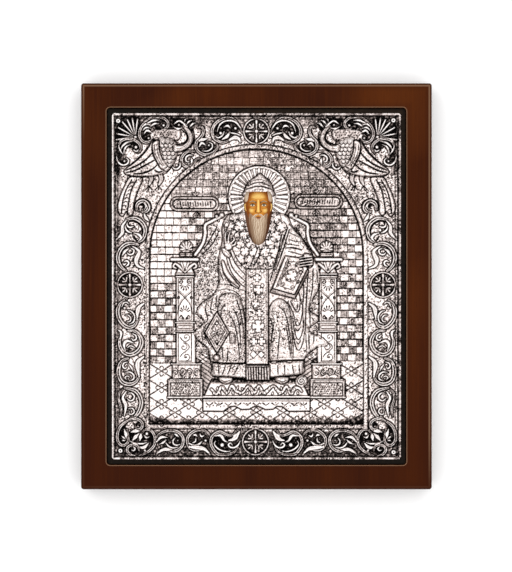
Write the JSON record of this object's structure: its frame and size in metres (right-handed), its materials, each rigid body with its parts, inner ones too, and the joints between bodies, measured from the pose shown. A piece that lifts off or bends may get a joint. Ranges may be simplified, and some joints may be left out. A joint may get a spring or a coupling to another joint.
{
  "type": "framed silver icon",
  "caption": "Embossed silver relief of a seated bishop under an arch, with a painted face, set in a recessed walnut board.",
  "frame": {"origin": "centre of the board's back face, on the surface it lies on", "axes": "+X to the right of the picture, +Y towards its top, +Z out of its front"},
  "size_m": [0.19, 0.22, 0.0202],
  "materials": {
    "walnut": "dark walnut stain under satin varnish",
    "black_ground": "matt black ground, with the face painted in ochre where the cover is open",
    "oxidised_silver": "embossed silver, polished on the high places and blackened in the hollows",
    "pin_silver": "small domed silver pins"
  },
  "bodies": {
    "root": {"wooden_board": "walnut", "painted_panel": "black_ground", "silver_riza": "oxidised_silver", "corner_pin_top_left": "pin_silver", "corner_pin_top_right": "pin_silver", "corner_pin_bottom_left": "pin_silver", "corner_pin_bottom_right": "pin_silver"}
  },
  "joints": []
}
